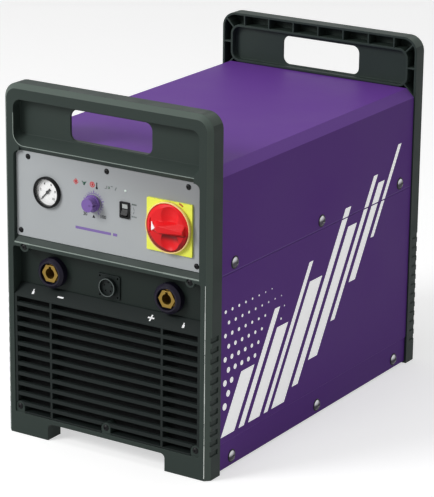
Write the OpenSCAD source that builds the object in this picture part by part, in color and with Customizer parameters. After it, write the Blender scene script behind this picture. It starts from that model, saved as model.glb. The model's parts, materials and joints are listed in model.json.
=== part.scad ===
// Plasma cutter power unit: two moulded end frames with carrying handles joined by a folded
// steel case, with its front controls, output sockets, cooling fan, power electronics and air line.
// Millimetres, +Z up, front towards -Y. The origin is on the floor, at the middle of the overall box.

/* [Case] */
// Width over the end frames
body_w = 300; // [290:2:320]
// Height over the handles
body_h = 450; // [446:1:460]
// Depth from the front frame's face to the rear frame's face
body_d = 520; // [510:5:560]
// Depth of each end frame
frame_d = 26; // [26:1:30]
// Wall thickness of the moulded frames
wall = 3; // [2.5:0.1:3.2]
// Sheet thickness of the steel case
sheet = 1.5; // [1.2:0.1:1.6]
// Slope taken off the frames' outer edge, seen from the end
bevel = 6; // [4:1:7]
// Height of the top of the steel case
cover_top = 382; // [376:1:382]
// Height of the seam between the top cover and the side panels
seam_z = 250; // [240:1:255]

/* [Handle] */
// Width of the hand hole
hand_w = 118; // [100:2:130]
// Depth from the frame's face to the web that holds the hand hole
web_t = 14; // [12:1:16]

/* [Vents] */
// Number of louvre slots in each grille
slots = 12; // [10:1:12]
// Distance from one slot to the next
slot_pitch = 13.1; // [13:0.1:13.2]
// Depth of the grooves that carry the slots round the frames' sides
groove_d = 1.4; // [1:0.1:1.8]

/* [Controls] */
// Side of the isolator's square plate
isolator_side = 64; // [60:1:66]
// How far the isolator handle stands out of the front face
handle_out = 13; // [12:1:16]
// Outside diameter of the pressure gauge
gauge_d = 39; // [38:0.5:42]
// Diameter of the current knob
knob_d = 21; // [19:0.5:23]
// Width of the mode switch
rocker_w = 14; // [13:0.5:15]

/* [Sockets] */
// Radius of the bore that takes the torch or work lead's plug
plug_r = 6.6; // [6.4:0.1:6.8]
// Distance of each output socket from the middle
socket_x = 85.5; // [82:0.5:88]
// Height of the output sockets
socket_z = 217; // [215:0.5:219]

/* [Hidden] */
$fn = 64;

// Everything is laid out from the front face, and the case is set back by half of what stands out
// of its front, so that the overall box is centred on the origin.
y_mid = handle_out / 2;
yf = y_mid - body_d / 2;
yr = y_mid + body_d / 2;
half_w = body_w / 2;

// End frames
foot_h = 22;
foot_gap_w = 174;
corner_r = 20;
pocket_w = 268;
pocket_z0 = 385.5;
pocket_z1 = 431;
pocket_r = 11;
mouth_z0 = 374.5;
mouth_r = 15;
web_thick = 3;
hand_z0 = 387;
hand_z1 = 426;
hand_r = 10;
rib = 2;
rib_pitch = 38.5;
side_rib_z = 408;
corner_rib = 23;
window_w = 274;
window_z0 = 28;
window_z1 = 246;
rim_d = 18.5;
boss_r = 6.5;
boss_gap = 0.3;
boss_t = 1.5;
low_boss_x = [-130.5, 0, 130.5];
low_boss_z = 36;
// Screws that hold each frame, as [x, z]
frame_screw_at = concat([[-121, 246], [121, 246]], [for (x = low_boss_x) [x, low_boss_z]]);
frame_screw_r = 2.5;
frame_head_r = 4.2;

// Control panel
panel_w = 268;
panel_z0 = 259;
panel_z1 = 367;
panel_t = 5;
panel_thick = 2;
seat_d = panel_t + panel_thick;
seat_thick = 3;
lip_h = 7;
brow_h = 6;
brow_w = panel_w - 16;
panel_screw_at = [[-116, 360.5], [0, 360.5], [116, 360.5], [-128, 266], [128, 266]];
gauge_at = [-87, 320.5];
knob_at = [-19, 318.5];
rocker_at = [26.5, 317.5];
rocker_h = 20;
rocker_tilt = 11;
isolator_at = [91, 308];
// Status lights, each as [x, z]
light_at = [[-45, 341], [-33, 341], [-21, 341], [3, 341], [27, 341]];
light_r = 1.6;

// Grilles
slot_h = 6.6;
slot_top = 181;
slat_h = 4.6;
slat_d = 4;
slat_rise = 0.6;
grille_d = 15;
mullion_x = 82;
ledge_z = 183.5;
ledge_rise = 12;
filter_t = 3;

// Socket panel
socket_t = 16;
collar_r = 19;
collar_t = 4;
contact_t = 5.5;
plug_depth = 24;
remote_at = [-4, 213.5];
remote_r = 12;

// Steel case
case_x = half_w - 2;
fold = 11;
cover_y0 = yf + frame_d;
cover_len = body_d - 2 * frame_d;
case_z0 = 3;
tray_z = 23;
floor_z = tray_z + sheet;
strip_z = 38;
joggle = 1.2;
lap_gap = 0.1;
tray_x = case_x - sheet - joggle - 0.2;
cover_screw_z = seam_z + 11;
side_screw_z = case_z0 + 11.5;
case_screw_y = [for (k = [-1, 0, 1]) y_mid + k * 203];
case_screw_r = 2.5;
case_head_r = 7;
bulk_x = 142;

// Fan, behind the rear grille
fan_side = 150;
fan_depth = 38;
fan_z = 106;
fan_y1 = yr - frame_d - sheet;
fan_y0 = fan_y1 - fan_depth;
fan_bore_r = 70;
rotor_r = 67;
hub_r = 31;
blades = 7;

// Rear connections, as [x, z] seen from the front
gland_at = [-75, 214];
inlet_at = [80, 214];
regulator_at = [20, 214];
gland_r = 7.5;
port_r = 5.7;

// Power section and air line, inside the case
core_at = [-62, -128];
choke_at = [66, core_at[1], floor_z];
choke_h = 52;
valve_at = [-100, 150, 285];
reg_axis = [regulator_at[0], yr - 62, regulator_at[1]];
hose_r = 4;

// ---- helpers ----

// A flat shape in X and Z, made into a slab from depth t behind the front face
module front_slab(t, thick) {
    translate([0, yf + t + thick, 0])
        rotate([90, 0, 0])
            linear_extrude(thick) children();
}

// Places children drawn along +Z so that they point out of the front face
module facing(at, t) {
    translate([at[0], yf + t, at[1]])
        rotate([90, 0, 0]) children();
}

// Turns what is drawn at the front to the same place at the rear
module at_rear() {
    translate([0, 2 * y_mid, 0])
        mirror([0, 1, 0]) children();
}

// A flat shape in Y and Z, drawn out along X
module along_x(x0, length) {
    translate([x0, 0, 0])
        rotate([90, 0, 90])
            linear_extrude(length) children();
}

// A flat shape in X and Z, drawn out along the case
module along_case(y0, length) {
    translate([0, y0 + length, 0])
        rotate([90, 0, 0])
            linear_extrude(length) children();
}

// An upright rectangle centred on x = 0, with its own radii at the top and at the bottom
module rounded(w, z0, z1, top_r, low_r) {
    translate([-w / 2, z0 + low_r]) square([w, z1 - z0 - low_r - top_r]);
    translate([low_r - w / 2, z0]) square([w - 2 * low_r, low_r + 0.01]);
    translate([top_r - w / 2, z1 - top_r - 0.01]) square([w - 2 * top_r, top_r + 0.01]);
    for (side = [-1, 1]) {
        translate([side * (w / 2 - low_r), z0 + low_r]) circle(low_r);
        translate([side * (w / 2 - top_r), z1 - top_r]) circle(top_r);
    }
}

// The same with one radius, centred on a point
module rounded_at(at, w, h, r) {
    translate([at[0], 0]) rounded(w, at[1] - h / 2, at[1] + h / 2, r, r);
}

module bar(size) {
    translate([-size[0] / 2, -size[1] / 2, 0]) cube(size);
}

// A pipe through a list of points, with round corners
module pipe(points, r) {
    for (k = [0 : len(points) - 2]) {
        a = points[k];
        d = points[k + 1] - a;
        translate(a)
            rotate([0, acos(d[2] / norm(d)), atan2(d[1], d[0])])
                cylinder(r = r, h = norm(d), $fn = 24);
        if (k > 0) translate(a) sphere(r * 1.06, $fn = 24);
    }
}

// A screw drawn along +Z: domed head above z = 0 with a hexagon socket, shank below
module button_screw(head_r, head_h, r, length) {
    dome_r = (head_r * head_r + head_h * head_h) / (2 * head_h);
    difference() {
        intersection() {
            cylinder(r = head_r, h = head_h);
            translate([0, 0, head_h - dome_r]) sphere(dome_r);
        }
        translate([0, 0, head_h * 0.45]) cylinder(r = head_r * 0.4, h = head_h, $fn = 6);
    }
    translate([0, 0, -length]) cylinder(r = r, h = length + 0.01);
}

// ---- end frames ----

module case_outline(inset) {
    rounded(body_w - 2 * inset, 0, body_h - inset, corner_r, 0.01);
}

// The frame's solid block, with its front edge bevelled along both sides and over the top
module frame_block() {
    linear_extrude(body_h - corner_r)
        polygon([[-half_w, yf + bevel], [bevel - half_w, yf], [half_w - bevel, yf],
            [half_w, yf + bevel], [half_w, yf + frame_d], [-half_w, yf + frame_d]]);
    along_x(corner_r - half_w, body_w - 2 * corner_r)
        polygon([[yf, body_h - corner_r - 1], [yf, body_h - bevel], [yf + bevel, body_h],
            [yf + frame_d, body_h], [yf + frame_d, body_h - corner_r - 1]]);
    for (side = [-1, 1])
        facing([side * (half_w - corner_r), body_h - corner_r], frame_d) {
            cylinder(r = corner_r, h = frame_d - bevel);
            translate([0, 0, frame_d - bevel])
                cylinder(r1 = corner_r, r2 = corner_r - bevel, h = bevel);
        }
}

module frame_hollow() {
    rounded(body_w - 2 * wall, foot_h + wall, body_h - wall, corner_r - wall, 1);
    for (side = [-1, 1])
        translate([side * (half_w + foot_gap_w / 2) / 2, 0])
            rounded(half_w - foot_gap_w / 2 - 2 * wall, wall, foot_h + wall + 1, 1, 1);
}

module pocket_outline(grow) {
    rounded(pocket_w + 2 * grow, pocket_z0 - grow, pocket_z1 + grow, pocket_r + grow,
        pocket_r + grow);
}

// The pocket in front of the web, which slopes down to a lip at its mouth
module pocket_front(t, grow) {
    hull() {
        front_slab(t, 1)
            rounded(pocket_w + 2 * grow, mouth_z0 - grow, pocket_z1 + grow, pocket_r + grow,
                mouth_r + grow);
        front_slab(web_t - 0.5, 0.5) pocket_outline(grow);
    }
}

module frame_ribs() {
    inner = pocket_z1 + wall - 0.5;
    for (k = [-3 : 3])
        translate([k * rib_pitch - rib / 2, inner])
            square([rib, body_h - wall - inner + 0.5]);
    for (side = [-1, 1]) {
        translate([side * (half_w - 8) - 7, side_rib_z]) square([14, rib]);
        for (up = [0, 1])
            translate([side * (pocket_w / 2 - 3.5), up ? pocket_z1 - 3.5 : pocket_z0 + 3.5])
                rotate([0, 0, side > 0 ? (up ? 45 : -45) : (up ? 135 : -135)])
                    translate([2.5, -rib / 2]) square([corner_rib, rib]);
    }
}

module moulded_frame() {
    slots_z = [for (k = [0 : slots - 1]) slot_top - k * slot_pitch - slot_h];
    color([0.16, 0.19, 0.18])
    difference() {
        union() {
            difference() {
                frame_block();
                front_slab(bevel, frame_d) frame_hollow();
            }
            front_slab(wall, frame_d - wall) pocket_outline(wall);
            pocket_front(wall, wall - 0.2);
            front_slab(bevel - 1, frame_d - bevel + 1) intersection() {
                frame_ribs();
                case_outline(2);
            }
            front_slab(wall, seat_d + seat_thick - wall)
                rounded(panel_w + 7, panel_z0 - 3, panel_z1 + 3.5, 9, 7);
            front_slab(wall, rim_d - wall)
                rounded(window_w + 2 * wall, window_z0 - wall, window_z1 + wall, 5, 5);
        }
        // The pocket on both sides of the web, and the hand hole through it
        pocket_front(-1, 0);
        front_slab(web_t + web_thick, frame_d) pocket_outline(0);
        front_slab(-1, frame_d + 2) rounded(hand_w, hand_z0, hand_z1, hand_r, hand_r);
        // The seat of the panel, the opening behind it, and the slopes below and above it
        front_slab(-1, seat_d + 1) rounded(panel_w + 1, panel_z0 - 0.5, panel_z1 + 0.5, 7.5, 3);
        front_slab(panel_t, frame_d)
            rounded(panel_w - 22, panel_z0 + 13, panel_z1 - 12, 4, 4);
        along_x(-panel_w / 2 - 0.5, panel_w + 1)
            polygon([[yf - 1, panel_z0 - lip_h - 1], [yf, panel_z0 - lip_h],
                [yf + panel_t, panel_z0 + 0.1], [yf + panel_t, panel_z0 + 3],
                [yf - 1, panel_z0 + 3]]);
        along_x(brow_w / -2, brow_w)
            polygon([[yf - 1, panel_z1 + brow_h + 1], [yf, panel_z1 + brow_h],
                [yf + panel_t, panel_z1 - 0.1], [yf + panel_t, panel_z1 - 3],
                [yf - 1, panel_z1 - 3]]);
        // The opening for the grille and the sockets, with the screw bosses left standing
        difference() {
            front_slab(-1, frame_d + 2) rounded(window_w, window_z0, window_z1, 3, 3);
            for (at = frame_screw_at)
                facing(at, rim_d) cylinder(r = boss_r, h = rim_d - boss_t);
            for (x = low_boss_x)
                front_slab(boss_t, rim_d - boss_t) translate([x - boss_r, window_z0 - 2])
                    square([2 * boss_r, low_boss_z - window_z0 + 2]);
        }
        for (at = frame_screw_at) {
            facing(at, frame_d + 1) cylinder(r = frame_screw_r + 0.2, h = frame_d + 2);
            facing(at, boss_t) cylinder(r = frame_head_r + 0.3, h = boss_t + 1);
        }
        for (at = panel_screw_at)
            facing(at, frame_d + 1) cylinder(r = 1.7, h = frame_d + 2);
        front_slab(-1, frame_d + 2) rounded(foot_gap_w, -5, foot_h, 6, 1);
        // The grooves that carry the louvres round the sides
        for (z = slots_z, side = [-1, 1])
            translate([side > 0 ? half_w - groove_d : -half_w - 5, yf - 1, z])
                cube([5 + groove_d, frame_d - 5, slot_h]);
    }
}

// Room for the bosses in whatever fills the window
module boss_room() {
    for (at = frame_screw_at) facing(at, frame_d) cylinder(r = boss_r + boss_gap, h = frame_d + 2);
    for (x = low_boss_x)
        front_slab(-1, frame_d + 2) translate([x - boss_r - boss_gap, window_z0 - 1])
            square([2 * (boss_r + boss_gap), low_boss_z - window_z0 + 1.1]);
}

module front_frame() moulded_frame();

module rear_frame() at_rear() moulded_frame();

// ---- grilles ----

module slat(z) {
    along_x(-window_w / 2 + 0.4, window_w - 0.8)
        polygon([[yf + 1, z], [yf + 1, z + slat_h], [yf + 1 + slat_d, z + slat_h + slat_rise],
            [yf + 1 + slat_d, z + slat_rise]]);
}

module louvre_insert() {
    low = slot_top - (slots - 1) * slot_pitch - slot_h;
    color([0.13, 0.15, 0.145])
    difference() {
        union() {
            // Border, mullions and the sloping shelf above the louvres
            difference() {
                front_slab(0.8, grille_d - 0.8)
                    rounded(window_w - 0.8, window_z0 + 0.4, ledge_z, 1, 2.6);
                front_slab(0, grille_d + 1)
                    translate([-window_w / 2 + 4, low])
                        square([window_w - 8, slot_top - low]);
            }
            along_x(-window_w / 2 + 0.4, window_w - 0.8)
                polygon([[yf + 0.8, slot_top], [yf + 0.8, ledge_z],
                    [yf + grille_d, ledge_z + ledge_rise], [yf + grille_d, slot_top]]);
            for (side = [-1, 1])
                translate([side * mullion_x - 1.5, yf + 1, low])
                    cube([3, grille_d - 2, slot_top - low]);
            for (k = [1 : slots - 1])
                slat(slot_top - k * slot_pitch + (slot_pitch - slot_h - slat_h) / 2);
            // Backing strips that hold the slats' ends
            for (x = [-window_w / 2 + 0.4, window_w / 2 - 4.4])
                translate([x, yf + slat_d, low]) cube([4, grille_d - slat_d, slot_top - low]);
        }
        boss_room();
    }
}

module front_grille() louvre_insert();

module rear_grille() at_rear() louvre_insert();

// Dust filter mat that lies against the back of the front grille
module intake_filter() {
    color([0.05, 0.05, 0.055])
    difference() {
        front_slab(grille_d, filter_t)
            rounded(window_w - 8, window_z0 + 1, ledge_z, 2, 2);
        boss_room();
    }
}

// ---- plates in the frames' windows ----

module bay_plate_outline() {
    rounded(window_w - 0.8, ledge_z + 3, window_z1 - 0.4, 2, 1);
}

module bay_plate() {
    difference() {
        front_slab(socket_t, 2.5) bay_plate_outline();
        boss_room();
        children();
    }
}

module socket_panel() {
    color([0.12, 0.14, 0.135])
    bay_plate() {
        for (side = [-1, 1])
            facing([side * socket_x, socket_z], frame_d) cylinder(r = 15.2, h = frame_d);
        facing(remote_at, frame_d) cylinder(r = 10.2, h = frame_d);
    }
}

module rear_connection_plate() {
    color([0.12, 0.14, 0.135])
    at_rear() bay_plate() {
        facing(gland_at, frame_d) cylinder(r = 12.7, h = frame_d);
        facing(inlet_at, frame_d) cylinder(r = 8.7, h = frame_d);
        facing(regulator_at, frame_d) cylinder(r = 10.2, h = frame_d);
    }
}

module panel_blank() {
    front_slab(panel_t, panel_thick) rounded(panel_w, panel_z0, panel_z1, 7, 2.5);
}

module panel_screw_holes() {
    for (at = panel_screw_at) facing(at, frame_d) cylinder(r = 1.7, h = frame_d + 2);
}

module control_panel() {
    color([0.66, 0.67, 0.68])
    difference() {
        panel_blank();
        panel_screw_holes();
        facing(gauge_at, frame_d) cylinder(r = gauge_d / 2 - 1.2, h = frame_d);
        facing(knob_at, frame_d) cylinder(r = 3.6, h = frame_d);
        facing(isolator_at, frame_d) cylinder(r = 8, h = frame_d);
        for (at = light_at) facing(at, frame_d) cylinder(r = light_r + 0.05, h = frame_d);
        front_slab(0, frame_d) rounded_at(rocker_at, rocker_w - 1.6, rocker_h - 1.6, 0.5);
    }
}

module rear_blank_plate() {
    color([0.14, 0.16, 0.155])
    at_rear() difference() {
        panel_blank();
        panel_screw_holes();
    }
}

// ---- steel case ----

module sheet_screw_holes(z) {
    for (y = case_screw_y)
        translate([-half_w, y, z]) rotate([0, 90, 0]) cylinder(r = case_screw_r + 0.1, h = body_w);
}

// The cover's end view, with a flat fold along each upper edge
module cover_profile(grow) {
    x = case_x - grow;
    top = cover_top - grow;
    f = fold - grow * (2 - sqrt(2));
    polygon([[-x, seam_z], [x, seam_z], [x, top - f], [x - f, top], [f - x, top], [-x, top - f]]);
}

module top_cover() {
    color([0.31, 0.16, 0.50])
    difference() {
        along_case(cover_y0, cover_len) difference() {
            cover_profile(0);
            translate([0, -1]) cover_profile(sheet);
            translate([-half_w, seam_z - 2]) square([body_w, 2]);
            translate([-case_x + sheet, seam_z - 2]) square([2 * (case_x - sheet), 20]);
        }
        sheet_screw_holes(cover_screw_z);
    }
}

// One side panel, at +X: its upper edge steps in behind the cover and its foot steps in over the tray
module side_panel() {
    x = case_x;
    shoulder = seam_z - 0.6;
    difference() {
        along_case(cover_y0, cover_len)
            polygon([[x, strip_z], [x, seam_z - 1.2], [x - 0.6, shoulder],
                [x - sheet - lap_gap, shoulder], [x - sheet - lap_gap, seam_z + 23],
                [x - 2 * sheet - lap_gap, seam_z + 23], [x - 2 * sheet - lap_gap, shoulder - sheet],
                [x - sheet, shoulder - 2 * sheet], [x - sheet, strip_z],
                [x - sheet - joggle, strip_z - joggle],
                [x - sheet - joggle, case_z0], [x - joggle, case_z0],
                [x - joggle, strip_z - joggle]]);
        sheet_screw_holes(cover_screw_z);
        sheet_screw_holes(side_screw_z);
    }
}

module right_side_panel() color([0.26, 0.14, 0.42]) side_panel();

module left_side_panel() color([0.26, 0.14, 0.42]) mirror([1, 0, 0]) side_panel();

// Raised floor with both sides turned down
module base_tray() {
    color([0.45, 0.46, 0.47])
    difference() {
        along_case(cover_y0, cover_len) difference() {
            translate([-tray_x, case_z0]) square([2 * tray_x, floor_z - case_z0]);
            translate([-tray_x + sheet, case_z0 - 1])
                square([2 * (tray_x - sheet), tray_z - case_z0 + 1]);
        }
        sheet_screw_holes(side_screw_z);
        // Breathing slots under the power section
        for (k = [-4 : 4])
            translate([-60, y_mid + k * 22 - 3, tray_z - 1]) cube([120, 6, 4]);
    }
}

module bulkhead() {
    front_slab(frame_d, sheet) difference() {
        rounded(2 * bulk_x, floor_z, cover_top - sheet - 4, 8, 1);
        rounded(256, 52, 182, 4, 4);
        rounded(250, 196, 240, 4, 4);
        rounded(242, 272, 353, 4, 4);
        for (at = frame_screw_at)
            translate(at) circle(frame_screw_r + 0.1);
    }
}

module front_bulkhead() color([0.5, 0.51, 0.52]) bulkhead();

module rear_bulkhead() color([0.5, 0.51, 0.52]) at_rear() bulkhead();

// ---- isolator ----

module isolator_plate() {
    color([0.93, 0.86, 0.16])
    difference() {
        front_slab(panel_t - 2.5, 2.5) rounded_at(isolator_at, isolator_side, isolator_side, 1.5);
        facing(isolator_at, frame_d) cylinder(r = 8, h = frame_d + 4);
    }
}

disc_r = 29.5;
disc_t = panel_t - 2.9;
disc_h = 5.4;
dish_r = 22;
dish_d = 3.6;
grip_h = disc_t + handle_out;
shaft_r = 4;
shaft_h = 9;
nose_x = 16;
nose_h = 9.2;
nose_slope = 35;

// Drawn along +Z from the disc's back, with the broad pointer end towards -X
module handle_shape() {
    difference() {
        rotate_extrude($fn = 96)
            polygon([[shaft_r + 0.1, 0], [disc_r, 0], [disc_r, 2.6], [disc_r - 1.4, 4],
                [disc_r - 5, disc_h], [shaft_r + 0.1, disc_h + 1]]);
        // Finger dishes on both sides of the grip
        for (side = [-1, 1])
            translate([5, side * 16, disc_h + dish_r - dish_d]) sphere(dish_r, $fn = 96);
    }
    hull($fn = 24) {
        translate([-15, 0, 1.6]) cylinder(r = 8.6, h = 1);
        translate([23, 6, 1.6]) cylinder(r = 3, h = 1);
        translate([23, -6, 1.6]) cylinder(r = 3, h = 1);
        translate([-5, 0, grip_h - 2]) cylinder(r = 4.2, h = 2);
        translate([25, 0, grip_h - 4.5]) cylinder(r = 1.6, h = 2);
    }
}

// Places children on the flat that slopes down to the pointer end
module on_nose() {
    facing([isolator_at[0] - nose_x, isolator_at[1]], disc_t - nose_h)
        rotate([0, -nose_slope, 0]) children();
}

module isolator_handle() {
    color([0.82, 0.07, 0.08])
    difference() {
        facing(isolator_at, disc_t) handle_shape();
        facing(isolator_at, disc_t + 1) cylinder(r = shaft_r + 0.1, h = shaft_h + 1.1);
        on_nose() translate([-9, -9, 0]) cube([16, 18, 14]);
    }
}

// White pointer let into the flat of the grip
module isolator_marker() {
    color([0.93, 0.93, 0.92])
    on_nose() linear_extrude(0.8) polygon([[-5.2, -5.4], [4.6, 0], [-5.2, 5.4]]);
}

module isolator_shaft() {
    color([0.6, 0.6, 0.62])
    facing(isolator_at, 44) cylinder(r = shaft_r, h = 44 - disc_t + shaft_h, $fn = 48);
}

module isolator_body() {
    color([0.1, 0.1, 0.11])
    difference() {
        union() {
            facing(isolator_at, panel_t + panel_thick + 7) bar([50, 50, 7]);
            for (k = [0 : 2])
                facing(isolator_at, panel_t + panel_thick + 28 + k * 20)
                    bar([54 - (k % 2) * 3, 54, 20 + (k == 0 ? 1 : 0.01)]);
        }
        facing(isolator_at, 120) cylinder(r = 4.1, h = 130, $fn = 48);
    }
}

// ---- pressure gauge ----

module gauge_case() {
    r = gauge_d / 2;
    color([0.06, 0.06, 0.065])
    facing(gauge_at, panel_t) {
        // Bezel proud of the panel, with the can behind
        rotate_extrude() polygon([[r - 3, -22], [r - 1.4, -22], [r - 1.4, 0], [r, 0],
            [r, 3.4], [r - 1, 4.6], [r - 2.6, 4.6], [r - 3, 3]]);
        translate([0, 0, -24]) cylinder(r = r - 1.4, h = 2);
        difference() {
            translate([0, 0, -34]) cylinder(r = 5, h = 10.01);
            translate([0, 0, -36]) cylinder(r = 2.6, h = 8);
        }
    }
}

module gauge_dial() {
    color([0.95, 0.95, 0.94])
    facing(gauge_at, panel_t) difference() {
        translate([0, 0, -1.2]) cylinder(r = gauge_d / 2 - 3.1, h = 0.8);
        translate([0, 0, -2]) cylinder(r = 1.1, h = 3);
    }
}

// The needle points down and to the left, at zero pressure
module gauge_needle() {
    color([0.05, 0.05, 0.05])
    facing(gauge_at, panel_t) rotate([0, 0, 225]) {
        translate([0, 0, 0.2]) linear_extrude(0.5)
            polygon([[-5.5, -1.6], [-5.5, 1.6], [0, 0.9], [14, 0.25], [14, -0.25], [0, -0.9]]);
        translate([0, 0, -8]) cylinder(r = 1, h = 8.8, $fn = 32);
        translate([0, 0, 0.1]) cylinder(r = 2.1, h = 1.1, $fn = 32);
    }
}

module gauge_lens() {
    color([0.85, 0.9, 0.92, 0.35])
    facing(gauge_at, panel_t) translate([0, 0, 1.8]) cylinder(r = gauge_d / 2 - 3.15, h = 1);
}

// ---- current knob and mode switch ----

module current_control() {
    color([0.2, 0.2, 0.21])
    facing(knob_at, panel_t) {
        difference() {
            translate([0, 0, -10 - panel_thick]) cylinder(r = 8.5, h = 10);
            translate([0, 0, -8.6 - panel_thick]) cylinder(r = 3.1, h = 10);
        }
        difference() {
            translate([0, 0, -panel_thick - 0.01]) cylinder(r = 3.5, h = panel_thick + 1.6);
            translate([0, 0, -9]) cylinder(r = 3.1, h = 12);
        }
    }
}

// Fluted knob with its own shaft; the pointer line faces right at rest
module current_knob() {
    r = knob_d / 2;
    color([0.34, 0.22, 0.52])
    facing(knob_at, panel_t) {
        difference() {
            union() {
                translate([0, 0, 2]) cylinder(r = r, h = 3, $fn = 64);
                translate([0, 0, 5]) cylinder(r1 = r - 1.2, r2 = r - 2.2, h = 9, $fn = 64);
            }
            for (k = [0 : 23])
                rotate([0, 0, k * 15]) translate([r - 0.9, 0, 5.2])
                    cylinder(r = 0.75, h = 12, $fn = 16);
            translate([2.5, -0.6, 13.4]) cube([r, 1.2, 2]);
            translate([r - 3.2, -0.6, 8]) cube([4, 1.2, 8]);
        }
        translate([0, 0, -9]) cylinder(r = 3, h = 12, $fn = 32);
    }
}

module mode_switch_body() {
    color([0.05, 0.05, 0.055])
    difference() {
        union() {
            front_slab(panel_t - 1.8, 1.8) rounded_at(rocker_at, rocker_w, rocker_h, 1);
            front_slab(panel_t, 18)
                rounded_at(rocker_at, rocker_w - 2, rocker_h - 2, 0.4);
        }
        front_slab(panel_t - 3, 11)
            translate([rocker_at[0] - rocker_w / 2 + 2.2, rocker_at[1] - rocker_h / 2 + 2.2])
                square([rocker_w - 4.4, rocker_h - 4.4]);
        translate([rocker_at[0] - rocker_w / 2 + 1.5, yf + panel_t + 2.2, rocker_at[1]])
            rotate([0, 90, 0]) cylinder(r = 1.1, h = rocker_w - 3, $fn = 32);
    }
}

// The rocker at rest has its upper half pressed in
module mode_rocker() {
    l = rocker_h / 2 - 3.1;
    w = rocker_w - 5;
    color([0.09, 0.09, 0.1])
    translate([rocker_at[0], yf + panel_t + 2.2, rocker_at[1]])
        rotate([-rocker_tilt, 0, 0]) {
            translate([-w / 2, 0, 0]) rotate([90, 0, 90]) linear_extrude(w)
                polygon([[-4.4, -l], [-3, -1.2], [-2.6, 0], [-3, 1.2], [-4.4, l], [-0.4, l],
                    [2.4, 2], [2.4, -2], [-0.4, -l]]);
            translate([-rocker_w / 2 + 1.6, 0, 0])
                rotate([0, 90, 0]) cylinder(r = 1, h = rocker_w - 3.2, $fn = 32);
        }
}

module status_lights() {
    for (k = [0 : len(light_at) - 1])
        color(k % 2 == 0 ? [0.8, 0.15, 0.12] : [0.2, 0.55, 0.3])
        facing(light_at[k], panel_t) {
            translate([0, 0, -4]) cylinder(r = light_r, h = 4, $fn = 32);
            intersection() {
                translate([0, 0, -0.6]) sphere(light_r + 0.02, $fn = 32);
                cylinder(r = light_r, h = 3, $fn = 32);
            }
        }
}

// ---- output sockets ----

module socket_collars() {
    for (side = [-1, 1])
        color([0.07, 0.07, 0.085])
        facing([side * socket_x, socket_z], socket_t) rotate_extrude() polygon([
            [11.7, -18], [15, -18], [15, 0], [collar_r, 0], [collar_r, 8.5],
            [collar_r - 3.5, socket_t - collar_t], [collar_r - 5.5, socket_t - collar_t],
            [collar_r - 5.5, 7], [13.4, 7], [13.4, 6], [11.7, 6]]);
}

module socket_contacts() {
    for (side = [-1, 1])
        color([0.75, 0.58, 0.25])
        facing([side * socket_x, socket_z], contact_t) difference() {
            union() {
                translate([0, 0, -3.4]) cylinder(r = 12, h = 3.4, $fn = 6);
                translate([0, 0, -36]) cylinder(r = 11.6, h = 33);
                translate([0, 0, -46]) cylinder(r = 6, h = 11);
            }
            translate([0, 0, -plug_depth]) cylinder(r = plug_r, h = plug_depth + 1);
            // Keyway for the plug's cam
            translate([-1.8, 0, -plug_depth]) cube([3.6, plug_r + 2.2, plug_depth + 1]);
        }
}

module remote_socket() {
    color([0.1, 0.115, 0.11])
    difference() {
        union() {
            front_slab(socket_t - 1.8, 1.8) rounded_at(remote_at, 32, 30, 2);
            facing(remote_at, socket_t + 12) cylinder(r = 10, h = 13);
            facing(remote_at, socket_t) cylinder(r = remote_r, h = 7);
        }
        facing(remote_at, socket_t - 3.6) cylinder(r = remote_r - 2, h = 6);
        for (sx = [-1, 1], sz = [-1, 1])
            facing([remote_at[0] + sx * 13, remote_at[1] + sz * 12], socket_t + 1)
                cylinder(r = 1.3, h = 4, $fn = 32);
        for (k = [0 : 4])
            facing([remote_at[0] + 6 * cos(k * 72 + 90), remote_at[1] + 6 * sin(k * 72 + 90)],
                socket_t + 13) cylinder(r = 0.9, h = 20, $fn = 24);
    }
}

module remote_contacts() {
    color([0.72, 0.6, 0.3])
    for (k = [0 : 4])
        facing([remote_at[0] + 6 * cos(k * 72 + 90), remote_at[1] + 6 * sin(k * 72 + 90)],
            socket_t + 16) cylinder(r = 0.8, h = 21, $fn = 24);
}

// ---- screws ----

module panel_screws() {
    color([0.08, 0.08, 0.085])
    for (at = panel_screw_at)
        facing(at, panel_t) button_screw(3.6, 2, 1.6, 12);
}

module frame_screws() {
    for (at = frame_screw_at)
        facing(at, boss_t)
            button_screw(frame_head_r, 2, frame_screw_r, frame_d + sheet - boss_t - 0.2);
}

module front_frame_screws() color([0.09, 0.09, 0.095]) frame_screws();

module rear_frame_screws() color([0.09, 0.09, 0.095]) at_rear() frame_screws();

// Domed screws on both sides of the case at one height, seated on a face at x
module case_screws(z, x) {
    for (y = case_screw_y, side = [-1, 1])
        translate([side * x, y, z])
            rotate([0, side * 90, 0]) button_screw(case_head_r, 4, case_screw_r, 9);
}

module cover_screws() color([0.6, 0.6, 0.62]) case_screws(cover_screw_z, case_x);

module side_panel_screws() color([0.6, 0.6, 0.62]) case_screws(side_screw_z, case_x - joggle);

// ---- fan ----

module fan_housing() {
    color([0.1, 0.1, 0.105])
    difference() {
        union() {
            difference() {
                along_case(fan_y0, fan_depth) rounded_at([0, fan_z], fan_side, fan_side, 6);
                translate([0, fan_y0 - 1, fan_z]) rotate([-90, 0, 0])
                    cylinder(r = fan_bore_r, h = fan_depth + 2, $fn = 96);
            }
            // Spider and motor cup on the case side
            for (k = [0 : 3]) translate([0, fan_y0, fan_z]) rotate([0, k * 90 + 45, 0])
                translate([20, 0, -3]) cube([fan_bore_r - 17, 4, 6]);
            translate([0, fan_y0, fan_z]) rotate([-90, 0, 0]) cylinder(r = 27, h = 8);
        }
        translate([0, fan_y0 + 2, fan_z]) rotate([-90, 0, 0]) cylinder(r = 3.1, h = 20, $fn = 32);
        for (sx = [-1, 1], sz = [-1, 1])
            translate([sx * 66, fan_y0 - 1, fan_z + sz * 66]) rotate([-90, 0, 0])
                cylinder(r = 2.2, h = fan_depth + 2, $fn = 32);
    }
}

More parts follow.
